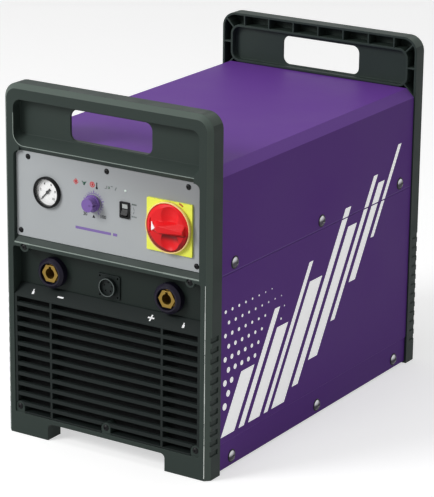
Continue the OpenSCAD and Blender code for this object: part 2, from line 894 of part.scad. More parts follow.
module fan_rotor() {
    color([0.13, 0.13, 0.135])
    translate([0, fan_y0, fan_z]) rotate([-90, 0, 0]) {
        translate([0, 0, 10]) cylinder(r = hub_r, h = 24);
        translate([0, 0, 2.5]) cylinder(r = 3, h = 8, $fn = 32);
        for (k = [0 : blades - 1])
            rotate([0, 0, k * 360 / blades]) translate([hub_r - 1.5, 0, 22])
                rotate([38, 0, 0]) translate([0, -15, -1.2]) cube([rotor_r - hub_r, 30, 2.4]);
    }
}

// ---- power electronics ----

sink_len = 200;
sink_w = 108;
sink_h = 92;
sink_y = 40;
sink_z = 62;

// Two finned heatsinks stand side by side on rails in the fan's air stream
module heatsinks() {
    fins = 12;
    for (side = [-1, 1])
        color([0.7, 0.71, 0.72])
        translate([side * 62 - sink_w / 2, sink_y - sink_len / 2, sink_z]) {
            translate([0, 0, sink_h - 10]) cube([sink_w, sink_len, 10]);
            for (k = [0 : fins - 1])
                translate([k * (sink_w - 2.5) / (fins - 1), 0, 0])
                    cube([2.5, sink_len, sink_h - 9]);
            // Rail feet on the tray
            for (x = [0, sink_w - 8], y = [0, sink_len - 14])
                translate([x, y, floor_z - sink_z]) cube([8, 14, sink_z - floor_z + 1]);
        }
}

module switching_modules() {
    color([0.12, 0.12, 0.13])
    for (side = [-1, 1], k = [-1, 0, 1])
        translate([side * 62 - 30, sink_y + k * 60 - 22, sink_z + sink_h])
            cube([60, 44, 16]);
}

board_z = sink_z + sink_h + 20;

module power_board() {
    color([0.09, 0.3, 0.17])
    union() {
        translate([-120, sink_y - 95, board_z]) cube([240, 190, 1.8]);
        // Stand-offs down to the heatsinks
        for (x = [-112, 112], y = [-85, 85])
            translate([x, sink_y + y, sink_z + sink_h]) cylinder(r = 3, h = 20.5, $fn = 24);
    }
}

module capacitors() {
    color([0.13, 0.16, 0.3])
    for (x = [-90, -45, 0, 45], k = [0, 1])
        translate([x, sink_y - 60 + k * 45, board_z + 1.8]) cylinder(r = 17.5, h = 52, $fn = 48);
}

module rectifier_module() {
    color([0.14, 0.14, 0.15])
    union() {
        translate([78, sink_y - 70, board_z + 1.8]) cube([34, 80, 22]);
        for (k = [0 : 2])
            translate([95, sink_y - 56 + k * 26, board_z + 23.7]) cylinder(r = 6, h = 3, $fn = 32);
    }
}

// Two E cores on a steel saddle, with the coil on the middle leg
module transformer_core() {
    color([0.18, 0.18, 0.19])
    translate([core_at[0], core_at[1], floor_z]) difference() {
        translate([-50, -32, 0]) cube([100, 64, 96]);
        for (side = [-1, 1])
            translate([side * 29 - 13, -33, 20]) cube([26, 66, 56]);
    }
}

module transformer_coil() {
    color([0.72, 0.42, 0.2])
    translate([core_at[0], core_at[1], floor_z + 21]) difference() {
        translate([-40, -48, 0]) cube([80, 96, 54]);
        translate([-16.4, -32.4, -1]) cube([32.8, 64.8, 56]);
        for (side = [-1, 1]) translate([side * 51 - 10, -32.4, -1]) cube([20, 64.8, 56]);
    }
}

module output_choke() {
    color([0.75, 0.45, 0.2])
    translate(choke_at) difference() {
        cylinder(r = 48, h = choke_h);
        translate([0, 0, -1]) cylinder(r = 20, h = choke_h + 2);
    }
}

module control_board() {
    y = yf + 60;
    color([0.09, 0.32, 0.2])
    union() {
        difference() {
            translate([-120, y, 262]) cube([160, 1.6, 96]);
            translate([gauge_at[0], y - 1, gauge_at[1]]) rotate([-90, 0, 0])
                cylinder(r = 8, h = 4);
        }
        for (x = [-40, -10, 20])
            translate([x - 8, y + 1.6, 285]) cube([16, 4, 24]);
    }
}

// ---- air line ----

module solenoid_valve() {
    color([0.62, 0.55, 0.35])
    union() {
        translate([valve_at[0], valve_at[1], valve_at[2]]) bar([30, 36, 26]);
        translate([valve_at[0], valve_at[1], valve_at[2] + 25.9]) bar([26, 26, 34]);
        // Bracket down to the rear bulkhead
        translate([valve_at[0] - 10, valve_at[1] + 17, valve_at[2] + 4])
            cube([20, yr - frame_d - sheet - valve_at[1] - 17, 3]);
    }
}

module air_regulator() {
    color([0.55, 0.56, 0.57])
    translate(reg_axis) difference() {
        union() {
            translate([-18, -14, -18]) cube([36, 28, 36]);
            rotate([-90, 0, 0]) cylinder(r = 10, h = 62 - socket_t + 1.5);
            translate([0, 0, 17]) cylinder(r = 7, h = 12);
        }
        translate([0, 10, 0]) rotate([-90, 0, 0]) cylinder(r = 4.1, h = 60, $fn = 32);
    }
}

module filter_bowl() {
    color([0.8, 0.85, 0.88, 0.5])
    translate([reg_axis[0], reg_axis[1] - 33, reg_axis[2]]) rotate([-90, 0, 0])
        cylinder(r = 13, h = 19);
}

module regulator_knob() {
    color([0.08, 0.08, 0.085])
    at_rear() facing(regulator_at, socket_t - 2) {
        difference() {
            translate([0, 0, 0.4]) cylinder(r = 13, h = 13.5);
            for (k = [0 : 11])
                rotate([0, 0, k * 30]) translate([13.4, 0, 2])
                    cylinder(r = 1.4, h = 14, $fn = 24);
        }
        translate([0, 0, -34]) cylinder(r = 4, h = 35, $fn = 32);
    }
}

module air_inlet() {
    color([0.72, 0.6, 0.33])
    at_rear() facing(inlet_at, socket_t) difference() {
        union() {
            cylinder(r = 12, h = 6, $fn = 6);
            translate([0, 0, 5.9]) cylinder(r = 9, h = 5);
            translate([0, 0, -24]) cylinder(r = 8.6, h = 24.1);
        }
        translate([0, 0, -1]) cylinder(r = port_r, h = 13);
        translate([0, 0, -25]) cylinder(r = 3, h = 30);
    }
}

module air_hoses() {
    inlet = [inlet_at[0], yr - socket_t - 24, inlet_at[1]];
    reg_in = reg_axis + [18, 0, 0];
    reg_out = reg_axis + [-18, 0, 0];
    step_x = -40;
    step_z = 242;
    drop_y = -120;
    valve_y = valve_at[1] + 8;
    out_z = valve_at[2] + 12;
    color([0.15, 0.3, 0.6]) {
        // Inlet to regulator
        pipe([inlet, [inlet[0], reg_axis[1], inlet[2]], reg_in], hose_r);
        // Regulator to valve
        pipe([reg_out, [step_x, reg_axis[1], reg_axis[2]], [step_x, reg_axis[1], step_z],
            [valve_at[0], reg_axis[1], step_z], [valve_at[0], valve_y, step_z],
            [valve_at[0], valve_y, valve_at[2]]], hose_r);
        // Valve to torch socket
        pipe([[valve_at[0], valve_at[1] - 18, out_z], [valve_at[0], drop_y, out_z],
            [valve_at[0], drop_y, socket_z], [-socket_x, drop_y, socket_z],
            [-socket_x, yf + contact_t + 46, socket_z]], hose_r);
    }
}

module gauge_tube() {
    x = gauge_at[0];
    z = gauge_at[1];
    bend_x = -60;
    bend_y = 60;
    color([0.2, 0.2, 0.22])
    pipe([[x, yf + panel_t + 34, z], [x, bend_y, z], [bend_x, bend_y, z],
        [bend_x, reg_axis[1], z], [reg_axis[0], reg_axis[1], z],
        [reg_axis[0], reg_axis[1], reg_axis[2] + 29]], 2.5);
}

// ---- mains inlet and leads ----

module mains_gland() {
    color([0.09, 0.09, 0.095])
    at_rear() facing(gland_at, socket_t) difference() {
        union() {
            cylinder(r = 16.5, h = 7, $fn = 6);
            translate([0, 0, 6.9]) cylinder(r = 14, h = 6.6);
            translate([0, 0, -12]) cylinder(r = 12.6, h = 12.1);
        }
        translate([0, 0, -13]) cylinder(r = gland_r, h = 30);
    }
}

module output_leads() {
    y0 = yf + contact_t + 46;
    color([0.1, 0.1, 0.1])
    pipe([[socket_x, y0, socket_z], [socket_x, choke_at[1], socket_z],
        [socket_x, choke_at[1], choke_at[2] + choke_h]], 5.5);
}

module mains_lead_tails() {
    start = yf + panel_t + panel_thick + 68;
    z = isolator_at[1];
    low_z = 262;
    // Three cores from the isolator's terminals back, across and down to the gland
    color([0.12, 0.12, 0.13])
    for (k = [-1, 0, 1]) {
        x = isolator_at[0] + k * 14;
        end_x = gland_at[0] + k * 6.4;
        y = 172 + k * 7;
        pipe([[x, start, z], [x, y, z], [x, y, low_z], [end_x, y, low_z],
            [end_x, y, gland_at[1]], [end_x, yr - socket_t - 12.4, gland_at[1]]], 3);
    }
}

front_frame();
rear_frame();
front_grille();
rear_grille();
intake_filter();
socket_panel();
rear_connection_plate();
control_panel();
rear_blank_plate();
top_cover();
left_side_panel();
right_side_panel();
base_tray();
front_bulkhead();
rear_bulkhead();
isolator_plate();
isolator_handle();
isolator_marker();
isolator_shaft();
isolator_body();
gauge_case();
gauge_dial();
gauge_needle();
gauge_lens();
current_knob();
current_control();
mode_switch_body();
mode_rocker();
status_lights();
socket_collars();
socket_contacts();
remote_socket();
remote_contacts();
panel_screws();
front_frame_screws();
rear_frame_screws();
cover_screws();
side_panel_screws();
fan_housing();
fan_rotor();
heatsinks();
power_board();
capacitors();
switching_modules();
transformer_core();
transformer_coil();
output_choke();
rectifier_module();
control_board();
solenoid_valve();
air_regulator();
filter_bowl();
regulator_knob();
air_inlet();
air_hoses();
gauge_tube();
mains_gland();
output_leads();
mains_lead_tails();
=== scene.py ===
"""Looks of the plasma cutter power unit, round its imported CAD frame. Metres, front towards -Y."""

import json
import math

import bpy
from mathutils import Matrix, Vector


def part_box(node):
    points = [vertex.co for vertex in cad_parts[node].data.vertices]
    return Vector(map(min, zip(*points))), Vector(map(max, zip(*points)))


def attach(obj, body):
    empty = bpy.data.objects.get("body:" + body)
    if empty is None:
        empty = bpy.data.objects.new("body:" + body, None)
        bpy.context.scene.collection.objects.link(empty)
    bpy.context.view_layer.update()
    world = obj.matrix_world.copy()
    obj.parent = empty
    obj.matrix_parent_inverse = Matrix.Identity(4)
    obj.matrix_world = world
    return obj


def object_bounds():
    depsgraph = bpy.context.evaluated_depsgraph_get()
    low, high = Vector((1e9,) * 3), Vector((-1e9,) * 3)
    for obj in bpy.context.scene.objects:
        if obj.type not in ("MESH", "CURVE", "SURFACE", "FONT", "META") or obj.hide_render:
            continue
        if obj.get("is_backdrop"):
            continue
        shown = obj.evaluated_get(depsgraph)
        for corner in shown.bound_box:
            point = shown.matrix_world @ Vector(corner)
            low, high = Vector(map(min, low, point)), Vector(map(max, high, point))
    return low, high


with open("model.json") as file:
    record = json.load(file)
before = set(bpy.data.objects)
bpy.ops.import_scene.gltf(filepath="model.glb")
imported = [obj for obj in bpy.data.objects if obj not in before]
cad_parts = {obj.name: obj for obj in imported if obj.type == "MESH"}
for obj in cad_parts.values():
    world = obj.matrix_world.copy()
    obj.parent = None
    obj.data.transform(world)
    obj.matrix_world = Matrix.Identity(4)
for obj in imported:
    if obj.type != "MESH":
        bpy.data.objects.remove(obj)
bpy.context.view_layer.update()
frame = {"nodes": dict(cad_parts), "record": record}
nodes = frame["nodes"]

MM = 0.001
BODY = "unit"

# ---- places, read from the frame ----

FRONT_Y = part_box("front_frame")[0].y
PANEL_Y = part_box("control_panel")[0].y
FRAME_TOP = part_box("front_frame")[1].z
CASE_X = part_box("top_cover")[1].x
SEAM_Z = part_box("top_cover")[0].z
CASE_Y0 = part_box("right_side_panel")[0].y
CASE_Y1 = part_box("right_side_panel")[1].y


def middle(node):
    low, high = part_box(node)
    return (low + high) / 2


GAUGE = middle("gauge_dial")
KNOB = middle("current_knob")
ISOLATOR = middle("isolator_plate")
ROCKER = middle("mode_rocker")


# ---- colours and materials ----


def srgb(r, g, b):
    """An 8-bit sRGB colour as the linear colour that a shader takes."""
    out = []
    for c in (r / 255, g / 255, b / 255):
        out.append(c / 12.92 if c <= 0.04045 else ((c + 0.055) / 1.055) ** 2.4)
    return (*out, 1.0)


def shade(colour, k):
    return (colour[0] * k, colour[1] * k, colour[2] * k, 1.0)


def material(
    name,
    colour,
    vary=0.12,
    rough=(0.35, 0.5),
    metal=0.0,
    mottle=30.0,
    grain=1400.0,
    bump=0.04,
    stretch=(1, 1, 1),
    round_edge=0.0,
    painted_edge_highlight=0.0,
    specular=0.5,
):
    """A solid surface, mottled and finely grained; its edges are soft if asked for, and carry a
    painted highlight if asked for.
    """
    m = bpy.data.materials.new(name)
    m.use_nodes = True
    tree = m.node_tree
    new, link = tree.nodes.new, tree.links.new
    shader = tree.nodes["Principled BSDF"]
    shader.inputs["Metallic"].default_value = metal
    shader.inputs["Specular IOR Level"].default_value = specular
    where = new("ShaderNodeTexCoord")
    turn = new("ShaderNodeMapping")
    turn.inputs["Scale"].default_value = stretch
    link(where.outputs["Object"], turn.inputs["Vector"])

    broad = new("ShaderNodeTexNoise")
    broad.inputs["Scale"].default_value = mottle
    broad.inputs["Detail"].default_value = 5
    fine = new("ShaderNodeTexNoise")
    fine.inputs["Scale"].default_value = grain
    fine.inputs["Detail"].default_value = 3
    for noise in (broad, fine):
        link(turn.outputs["Vector"], noise.inputs["Vector"])

    tone = new("ShaderNodeMix")
    tone.data_type = "RGBA"
    tone.inputs["A"].default_value = shade(colour, 1 - vary)
    tone.inputs["B"].default_value = shade(colour, 1 + vary)
    link(broad.outputs["Fac"], tone.inputs["Factor"])
    out_colour = tone.outputs["Result"]

    spread = new("ShaderNodeMapRange")
    spread.inputs["From Min"].default_value = 0.3
    spread.inputs["From Max"].default_value = 0.7
    spread.inputs["To Min"].default_value = rough[0]
    spread.inputs["To Max"].default_value = rough[1]
    link(broad.outputs["Fac"], spread.inputs["Value"])
    link(spread.outputs["Result"], shader.inputs["Roughness"])

    relief = new("ShaderNodeBump")
    relief.inputs["Strength"].default_value = bump
    relief.inputs["Distance"].default_value = 0.0004
    link(fine.outputs["Fac"], relief.inputs["Height"])

    if round_edge:
        soft = new("ShaderNodeBevel")
        soft.samples = 4
        soft.inputs["Radius"].default_value = round_edge
        link(soft.outputs["Normal"], relief.inputs["Normal"])
        # Painted highlight: the rounded edges are lightened towards a brighter copy of the colour.
        if painted_edge_highlight:
            flat = new("ShaderNodeNewGeometry")
            match = new("ShaderNodeVectorMath")
            match.operation = "DOT_PRODUCT"
            link(soft.outputs["Normal"], match.inputs[0])
            link(flat.outputs["Normal"], match.inputs[1])
            highlight_amount = new("ShaderNodeMapRange")
            highlight_amount.inputs["From Min"].default_value = 0.97
            highlight_amount.inputs["From Max"].default_value = 0.75
            highlight_amount.inputs["To Max"].default_value = painted_edge_highlight
            link(match.outputs["Value"], highlight_amount.inputs["Value"])
            edge = new("ShaderNodeMix")
            edge.data_type = "RGBA"
            link(highlight_amount.outputs["Result"], edge.inputs["Factor"])
            link(out_colour, edge.inputs["A"])
            edge.inputs["B"].default_value = shade(colour, 4.0)
            out_colour = edge.outputs["Result"]
    link(out_colour, shader.inputs["Base Color"])
    link(relief.outputs["Normal"], shader.inputs["Normal"])
    return m


def blend_over(m, colour, mask):
    """Lays a second colour over a material where the mask, an output of its tree, is near 1."""
    tree = m.node_tree
    base = tree.nodes["Principled BSDF"].inputs["Base Color"]
    mix = tree.nodes.new("ShaderNodeMix")
    mix.data_type = "RGBA"
    tree.links.new(base.links[0].from_socket, mix.inputs["A"])
    mix.inputs["B"].default_value = colour
    tree.links.new(mask, mix.inputs["Factor"])
    tree.links.new(mix.outputs["Result"], base)


def ramp(tree, value, start, stop, most):
    """From 0 at start to `most` at stop, with no overshoot."""
    out = tree.nodes.new("ShaderNodeMapRange")
    out.interpolation_type = "SMOOTHSTEP"
    out.inputs["From Min"].default_value = start
    out.inputs["From Max"].default_value = stop
    out.inputs["To Max"].default_value = most
    tree.links.new(value, out.inputs["Value"])
    return out.outputs["Result"]


def along(tree, vector, direction):
    """How far a vector output reaches along a fixed direction."""
    product = tree.nodes.new("ShaderNodeVectorMath")
    product.operation = "DOT_PRODUCT"
    tree.links.new(vector, product.inputs[0])
    product.inputs[1].default_value = direction
    return product.outputs["Value"]


def face_normal(tree):
    return tree.nodes.new("ShaderNodeNewGeometry").outputs["Normal"]


def unsigned_normal(tree):
    size = tree.nodes.new("ShaderNodeVectorMath")
    size.operation = "ABSOLUTE"
    tree.links.new(face_normal(tree), size.inputs[0])
    return size.outputs["Vector"]


def place_on_object(tree):
    return tree.nodes.new("ShaderNodeTexCoord").outputs["Object"]


# How slantwise a face lies, as the sum of two sides of its normal: 1 square, 1.41 at 45 degrees
SLANT = (1.15, 1.36)
FOLD_SLANT = (1.2, 1.38)


def bevel_highlight_mask(tree, top_z, most):
    """High on the bevels of upright edges, and of those above top_z, where the frame gets a painted
    highlight.
    """
    rise = ramp(tree, along(tree, place_on_object(tree), (0, 0, 1)), top_z - 2 * MM, top_z, 1)
    slant = tree.nodes.new("ShaderNodeMath")
    slant.operation = "MULTIPLY_ADD"
    tree.links.new(along(tree, face_normal(tree), (0, 0, 1)), slant.inputs[0])
    tree.links.new(rise, slant.inputs[1])
    tree.links.new(along(tree, unsigned_normal(tree), (1, 1, 0)), slant.inputs[2])
    return ramp(tree, slant.outputs["Value"], *SLANT, most)


def fold_highlight_mask(tree, most):
    """High where sheet metal is folded slantwise between its top and a side."""
    return ramp(tree, along(tree, unsigned_normal(tree), (1, 0, 1)), *FOLD_SLANT, most)


def facing_mask(tree, direction, start, stop, most):
    """High on what faces a direction."""
    return ramp(tree, along(tree, face_normal(tree), direction), start, stop, most)


def height_mask(tree, direction, start, stop, most):
    """High on what lies far along a direction on the object itself."""
    return ramp(tree, along(tree, place_on_object(tree), direction), start, stop, most)


def under_mask(tree, z, most):
    """High on what faces down, below a height on the object itself."""
    both = tree.nodes.new("ShaderNodeMath")
    both.operation = "MULTIPLY"
    down = along(tree, face_normal(tree), (0, 0, -1))
    depth = along(tree, place_on_object(tree), (0, 0, -1))
    tree.links.new(ramp(tree, down, -0.06, 0.30, most), both.inputs[0])
    tree.links.new(ramp(tree, depth, -z, 4 * MM - z, 1), both.inputs[1])
    return both.outputs["Value"]


def clear_material(name, colour, rough, alpha):
    m = material(name, colour, vary=0.02, rough=(rough, rough + 0.03), bump=0.01)
    m.node_tree.nodes["Principled BSDF"].inputs["Alpha"].default_value = alpha
    return m


def lens_material(name, spots, colours):
    """One colour for each lens of a row, changed half way between two neighbours along X."""
    m = material(name, colours[0], rough=(0.1, 0.2), bump=0.01)
    tree = m.node_tree
    new, link = tree.nodes.new, tree.links.new
    where = new("ShaderNodeTexCoord")
    split = new("ShaderNodeSeparateXYZ")
    share = new("ShaderNodeMapRange")
    share.inputs["From Min"].default_value = spots[0]
    share.inputs["From Max"].default_value = spots[-1]
    bands = new("ShaderNodeValToRGB")
    bands.color_ramp.interpolation = "CONSTANT"
    bands.color_ramp.elements.remove(bands.color_ramp.elements[1])
    bands.color_ramp.elements[0].color = colours[0]
    for k in range(1, len(spots)):
        half = ((spots[k - 1] + spots[k]) / 2 - spots[0]) / (spots[-1] - spots[0])
        bands.color_ramp.elements.new(half).color = colours[k]
    link(where.outputs["Object"], split.inputs[0])
    link(split.outputs["X"], share.inputs["Value"])
    link(share.outputs["Result"], bands.inputs["Fac"])
    link(bands.outputs["Color"], tree.nodes["Principled BSDF"].inputs["Base Color"])
    return m


MOULDED = material(
    "moulded_grey", srgb(44, 54, 50), vary=0.06, rough=(0.48, 0.60), grain=1800, bump=0.08,
    round_edge=0.0012, painted_edge_highlight=0.10, specular=0.18,
)
# Painted highlight: the frames are lighter on their bevels and along their top edges.
blend_over(MOULDED, srgb(92, 104, 97), bevel_highlight_mask(MOULDED.node_tree, FRAME_TOP - 12 * MM, 0.62))
MOULDED_DARK = material(
    "moulded_dark", srgb(30, 36, 35), vary=0.08, rough=(0.45, 0.6), grain=1800, bump=0.08,
    round_edge=0.0006, painted_edge_highlight=0.06, specular=0.12,
)
RECESS = material("recess_dark", srgb(30, 38, 35), rough=(0.4, 0.55), bump=0.06, specular=0.12)
FOAM = material(
    "filter_foam", srgb(14, 15, 16), vary=0.3, rough=(0.8, 0.95), mottle=220, grain=900, bump=0.5,
    specular=0.15,
)
PURPLE = material(
    "purple_paint", srgb(99, 57, 143), vary=0.03, rough=(0.50, 0.60), mottle=9, grain=700,
    bump=0.04, round_edge=0.0008, painted_edge_highlight=0.03, specular=0.10,
)
# Painted highlight: the purple is lighter along the slanted folds between the cover's top and
# sides.
blend_over(PURPLE, srgb(146, 106, 196), fold_highlight_mask(PURPLE.node_tree, 0.40))
SILVER = material(
    "panel_silver", srgb(173, 177, 179), vary=0.03, rough=(0.42, 0.52), mottle=14, grain=2200,
    bump=0.04, round_edge=0.0006, specular=0.2,
)
# Painted shade: the panel is darker towards its top and right, where the lip above shades it.
blend_over(
    SILVER, srgb(128, 129, 131),
    height_mask(SILVER.node_tree, (0.35, 0, 1), 0.300, 0.405, 0.75),
)
BLACK = material(
    "black_plastic", srgb(14, 15, 17), rough=(0.3, 0.42), bump=0.03, round_edge=0.0004,
    specular=0.14,
)
BLACK_SCREW = material(
    "black_oxide", srgb(14, 15, 17), rough=(0.35, 0.5), bump=0.03, round_edge=0.0004,
    specular=0.16,
)
ZINC = material(
    "zinc_plate", srgb(118, 120, 124), rough=(0.34, 0.5), metal=0.8, mottle=60, bump=0.04,
)
DOME = material(
    "dome_screw", srgb(70, 68, 76), rough=(0.2, 0.3), metal=0.6, mottle=90, bump=0.02,
    round_edge=0.0005,
)
# Painted highlight: the domes are lighter where they face up and forward.
blend_over(
    DOME, srgb(238, 238, 242),
    facing_mask(DOME.node_tree, (0, -0.45, 0.89), 0.25, 0.72, 0.9),
)
YELLOW = material(
    "isolator_yellow", srgb(240, 245, 92), vary=0.03, rough=(0.35, 0.45), bump=0.02,
    round_edge=0.0005, specular=0.2,
)
RED = material(
    "isolator_red", srgb(232, 28, 34), vary=0.04, rough=(0.3, 0.4), bump=0.02, round_edge=0.0012,
    specular=0.2,
)
# Painted shade: the red handle is darker where it faces down, low on the disc.
blend_over(RED, srgb(104, 10, 14), under_mask(RED.node_tree, ISOLATOR.z - 2 * MM, 0.85))
CREAM = material(
    "rim_cream", srgb(255, 222, 146), vary=0.04, rough=(0.3, 0.4), bump=0.02, specular=0.2,
)
WHITE = material(
    "print_white", srgb(252, 252, 253), vary=0.01, rough=(0.4, 0.5), bump=0.02, specular=0.2,
)
INK = material(
    "print_black", srgb(20, 20, 24), vary=0.10, rough=(0.4, 0.5), bump=0.02, specular=0.2,
)
INK_GREY = material(
    "print_grey", srgb(98, 106, 104), vary=0.10, rough=(0.4, 0.5), bump=0.02, specular=0.2,
)
INK_PURPLE = material("print_purple", srgb(122, 98, 164), vary=0.08, rough=(0.4, 0.5), bump=0.02)
INK_RED = material("print_red", srgb(200, 56, 58), vary=0.08, rough=(0.35, 0.45), bump=0.02)
INK_ORANGE = material("print_orange", srgb(186, 92, 34), vary=0.08, rough=(0.35, 0.45), bump=0.02)
INK_GREEN = material("print_green", srgb(44, 88, 72), vary=0.08, rough=(0.35, 0.45), bump=0.02)
DIAL = material("dial_white", srgb(255, 255, 254), vary=0.005, rough=(0.45, 0.55), bump=0.01)
KNOB_PURPLE = material(
    "knob_purple", srgb(122, 92, 166), vary=0.06, rough=(0.3, 0.4), bump=0.03, round_edge=0.0005,
    specular=0.3,
)
BRASS = material(
    "brass", srgb(136, 110, 48), vary=0.14, rough=(0.30, 0.44), metal=0.75, mottle=120, bump=0.04,
    round_edge=0.0005,
)
COLLAR = material(
    "socket_collar", srgb(27, 23, 38), vary=0.10, rough=(0.3, 0.42), bump=0.04, round_edge=0.0006,
    specular=0.15,
)
ALUMINIUM = material(
    "aluminium", srgb(188, 190, 194), rough=(0.3, 0.45), metal=0.9, stretch=(1, 0.1, 1), bump=0.05,
)
BOARD = material("circuit_board", srgb(30, 96, 58), vary=0.25, rough=(0.35, 0.5), mottle=260)
SLEEVE = material("capacitor_sleeve", srgb(44, 50, 86), rough=(0.25, 0.35))
FERRITE = material("ferrite", srgb(58, 58, 62), vary=0.2, rough=(0.6, 0.8), mottle=150, bump=0.2)
WINDING = material(
    "winding", srgb(186, 112, 62), vary=0.2, rough=(0.3, 0.45), metal=0.4, mottle=20,
    stretch=(1, 1, 30), bump=0.2,
)
HOSE = material("hose_blue", srgb(40, 84, 160), vary=0.08, rough=(0.35, 0.5))
RUBBER = material("cable_rubber", srgb(28, 28, 30), vary=0.15, rough=(0.55, 0.7), bump=0.08)
GLASS = clear_material("gauge_glass", srgb(250, 252, 252), 0.05, 0.04)
BOWL = clear_material("bowl_clear", srgb(225, 236, 240), 0.08, 0.35)
# Pale grey of the painted reflection on the rocker.
LIGHT_GREY = material(
    "rocker_reflection_grey", srgb(172, 177, 175), vary=0.06, rough=(0.25, 0.35), bump=0.02,
)
# Pale grey of the painted highlight down the right edge of the front.
HIGHLIGHT_GREY = material("painted_edge_line", srgb(206, 212, 207), vary=0.12, rough=(0.4, 0.5), mottle=400)
SHEEN = material("edge_sheen", srgb(132, 144, 137), vary=0.10, rough=(0.4, 0.5), mottle=160)
# Lighter purple of the painted highlight along the foot of the cover.
HEM_HIGHLIGHT = material("hem_highlight_paint", srgb(122, 92, 168), vary=0.06, rough=(0.5, 0.6), specular=0.1)
VINYL = material(
    "vinyl_white", srgb(252, 252, 253), vary=0.01, rough=(0.4, 0.5), bump=0.02, specular=0.2,
)
# Painted light: the white vinyl glows faintly, so that it stays near white on the shaded sides.
VINYL_GLOW = 0.35
vinyl_shader = VINYL.node_tree.nodes["Principled BSDF"]
vinyl_shader.inputs["Emission Color"].default_value = (1, 1, 1, 1)
vinyl_shader.inputs["Emission Strength"].default_value = VINYL_GLOW

# The status lights: where each stands along the row, in mm from the first
LIGHT_STEPS = (0, 12, 24, 48, 72)
first_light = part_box("status_lights")[0].x + 1.6 * MM
# The last lens is near white: a painted glint on it.
LENSES = lens_material(
    "status_lens", [first_light + dx * MM for dx in LIGHT_STEPS],
    [srgb(196, 44, 48), srgb(40, 84, 68), srgb(206, 52, 52), srgb(118, 136, 126),
     srgb(226, 240, 232)],
)

LOOKS = {
    MOULDED: ["front_frame", "rear_frame"],
    MOULDED_DARK: ["front_grille", "rear_grille", "rear_blank_plate", "remote_socket"],
    RECESS: ["socket_panel", "rear_connection_plate"],
    PURPLE: ["top_cover", "left_side_panel", "right_side_panel"],
    SILVER: ["control_panel"],
    BLACK: [
        "isolator_body", "gauge_case", "current_control", "mode_switch_body", "mode_rocker",
        "fan_housing", "fan_rotor", "switching_modules", "rectifier_module", "regulator_knob",
        "mains_gland",
    ],
    FOAM: ["intake_filter"],
    BLACK_SCREW: [
        "panel_screws", "front_frame_screws", "rear_frame_screws", "gauge_needle",
        "remote_contacts",
    ],
    ZINC: ["base_tray", "front_bulkhead", "rear_bulkhead", "isolator_shaft"],
    DOME: ["cover_screws", "side_panel_screws"],
    YELLOW: ["isolator_plate"],
    RED: ["isolator_handle"],
    WHITE: ["isolator_marker"],
    DIAL: ["gauge_dial"],
    GLASS: ["gauge_lens"],
    KNOB_PURPLE: ["current_knob"],
    BRASS: ["socket_contacts", "air_inlet", "solenoid_valve"],
    COLLAR: ["socket_collars"],
    ALUMINIUM: ["heatsinks", "air_regulator"],
    BOARD: ["power_board", "control_board"],
    SLEEVE: ["capacitors"],
    FERRITE: ["transformer_core"],
    WINDING: ["transformer_coil", "output_choke"],
    BOWL: ["filter_bowl"],
    HOSE: ["air_hoses", "gauge_tube"],
    RUBBER: ["output_leads", "mains_lead_tails"],
    LENSES: ["status_lights"],
}
for look, names in LOOKS.items():
    for name in names:
        nodes[name].data.materials.clear()
        nodes[name].data.materials.append(look)


# ---- flat shapes, as outlines in a plane ----


def dot(u, v, r, count=24):
    return [
        (u + r * math.cos(2 * math.pi * k / count), v + r * math.sin(2 * math.pi * k / count))
        for k in range(count)
    ]


def arc(u, v, r0, r1, start, stop, count=24):
    """Part of a ring, from angle start to angle stop in degrees."""
    angles = [math.radians(start + (stop - start) * k / count) for k in range(count + 1)]
    outer = [(u + r1 * math.cos(a), v + r1 * math.sin(a)) for a in angles]
    inner = [(u + r0 * math.cos(a), v + r0 * math.sin(a)) for a in reversed(angles)]
    return outer + inner


def stroke(u0, v0, u1, v1, w):
    """A straight line of width w."""
    length = math.hypot(u1 - u0, v1 - v0)
    nu, nv = -(v1 - v0) / length * w / 2, (u1 - u0) / length * w / 2
    return [(u0 - nu, v0 - nv), (u1 - nu, v1 - nv), (u1 + nu, v1 + nv), (u0 + nu, v0 + nv)]


def strokes(u, v, lines):
    """Straight lines near a point, each given as its two ends and its width in mm from there."""
    return [
        stroke(u + u0 * MM, v + v0 * MM, u + u1 * MM, v + v1 * MM, w * MM)
        for u0, v0, u1, v1, w in lines
    ]


def tick(u, v, r0, r1, angle, w):
    a = math.radians(angle)
    return stroke(
        u + r0 * math.cos(a), v + r0 * math.sin(a), u + r1 * math.cos(a), v + r1 * math.sin(a), w
    )


# Each plane is (origin, direction of u, direction of v); what is drawn stands out along u x v
def front_plane(y):
    return Vector((0, y, 0)), Vector((1, 0, 0)), Vector((0, 0, 1))


def right_plane(x):
    return Vector((x, 0, 0)), Vector((0, 1, 0)), Vector((0, 0, 1))


def left_plane(x):
    return Vector((x, 0, 0)), Vector((0, -1, 0)), Vector((0, 0, 1))


def add_mesh(name, verts, faces, look, body=BODY, smooth=False):
    mesh = bpy.data.meshes.new(name)
    mesh.from_pydata([tuple(v) for v in verts], [], faces)
    mesh.update()
    obj = bpy.data.objects.new(name, mesh)
    bpy.context.scene.collection.objects.link(obj)
    mesh.materials.append(look)
    for face in mesh.polygons:
        face.use_smooth = smooth
    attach(obj, body)
    return obj


def print_on(name, plane, outlines, look, thick=0.12 * MM, body=BODY):
    """Flat shapes on a face, each outline a thin plate."""
    origin, u_dir, v_dir = plane
    out = u_dir.cross(v_dir)
    verts, faces = [], []
    for outline in outlines:
        n, first = len(outline), len(verts)
        area = sum(
            outline[k][0] * outline[(k + 1) % n][1] - outline[(k + 1) % n][0] * outline[k][1]
            for k in range(n)
        )
        points = outline if area > 0 else list(reversed(outline))
        for lift in (-0.05 * MM, thick):
            verts += [origin + u_dir * u + v_dir * v + out * lift for u, v in points]
        faces.append([first + n + k for k in range(n)])
        faces.append([first + k for k in reversed(range(n))])
        for k in range(n):
            j = (k + 1) % n
            faces.append([first + k, first + j, first + n + j, first + n + k])
    return add_mesh(name, verts, faces, look, body)


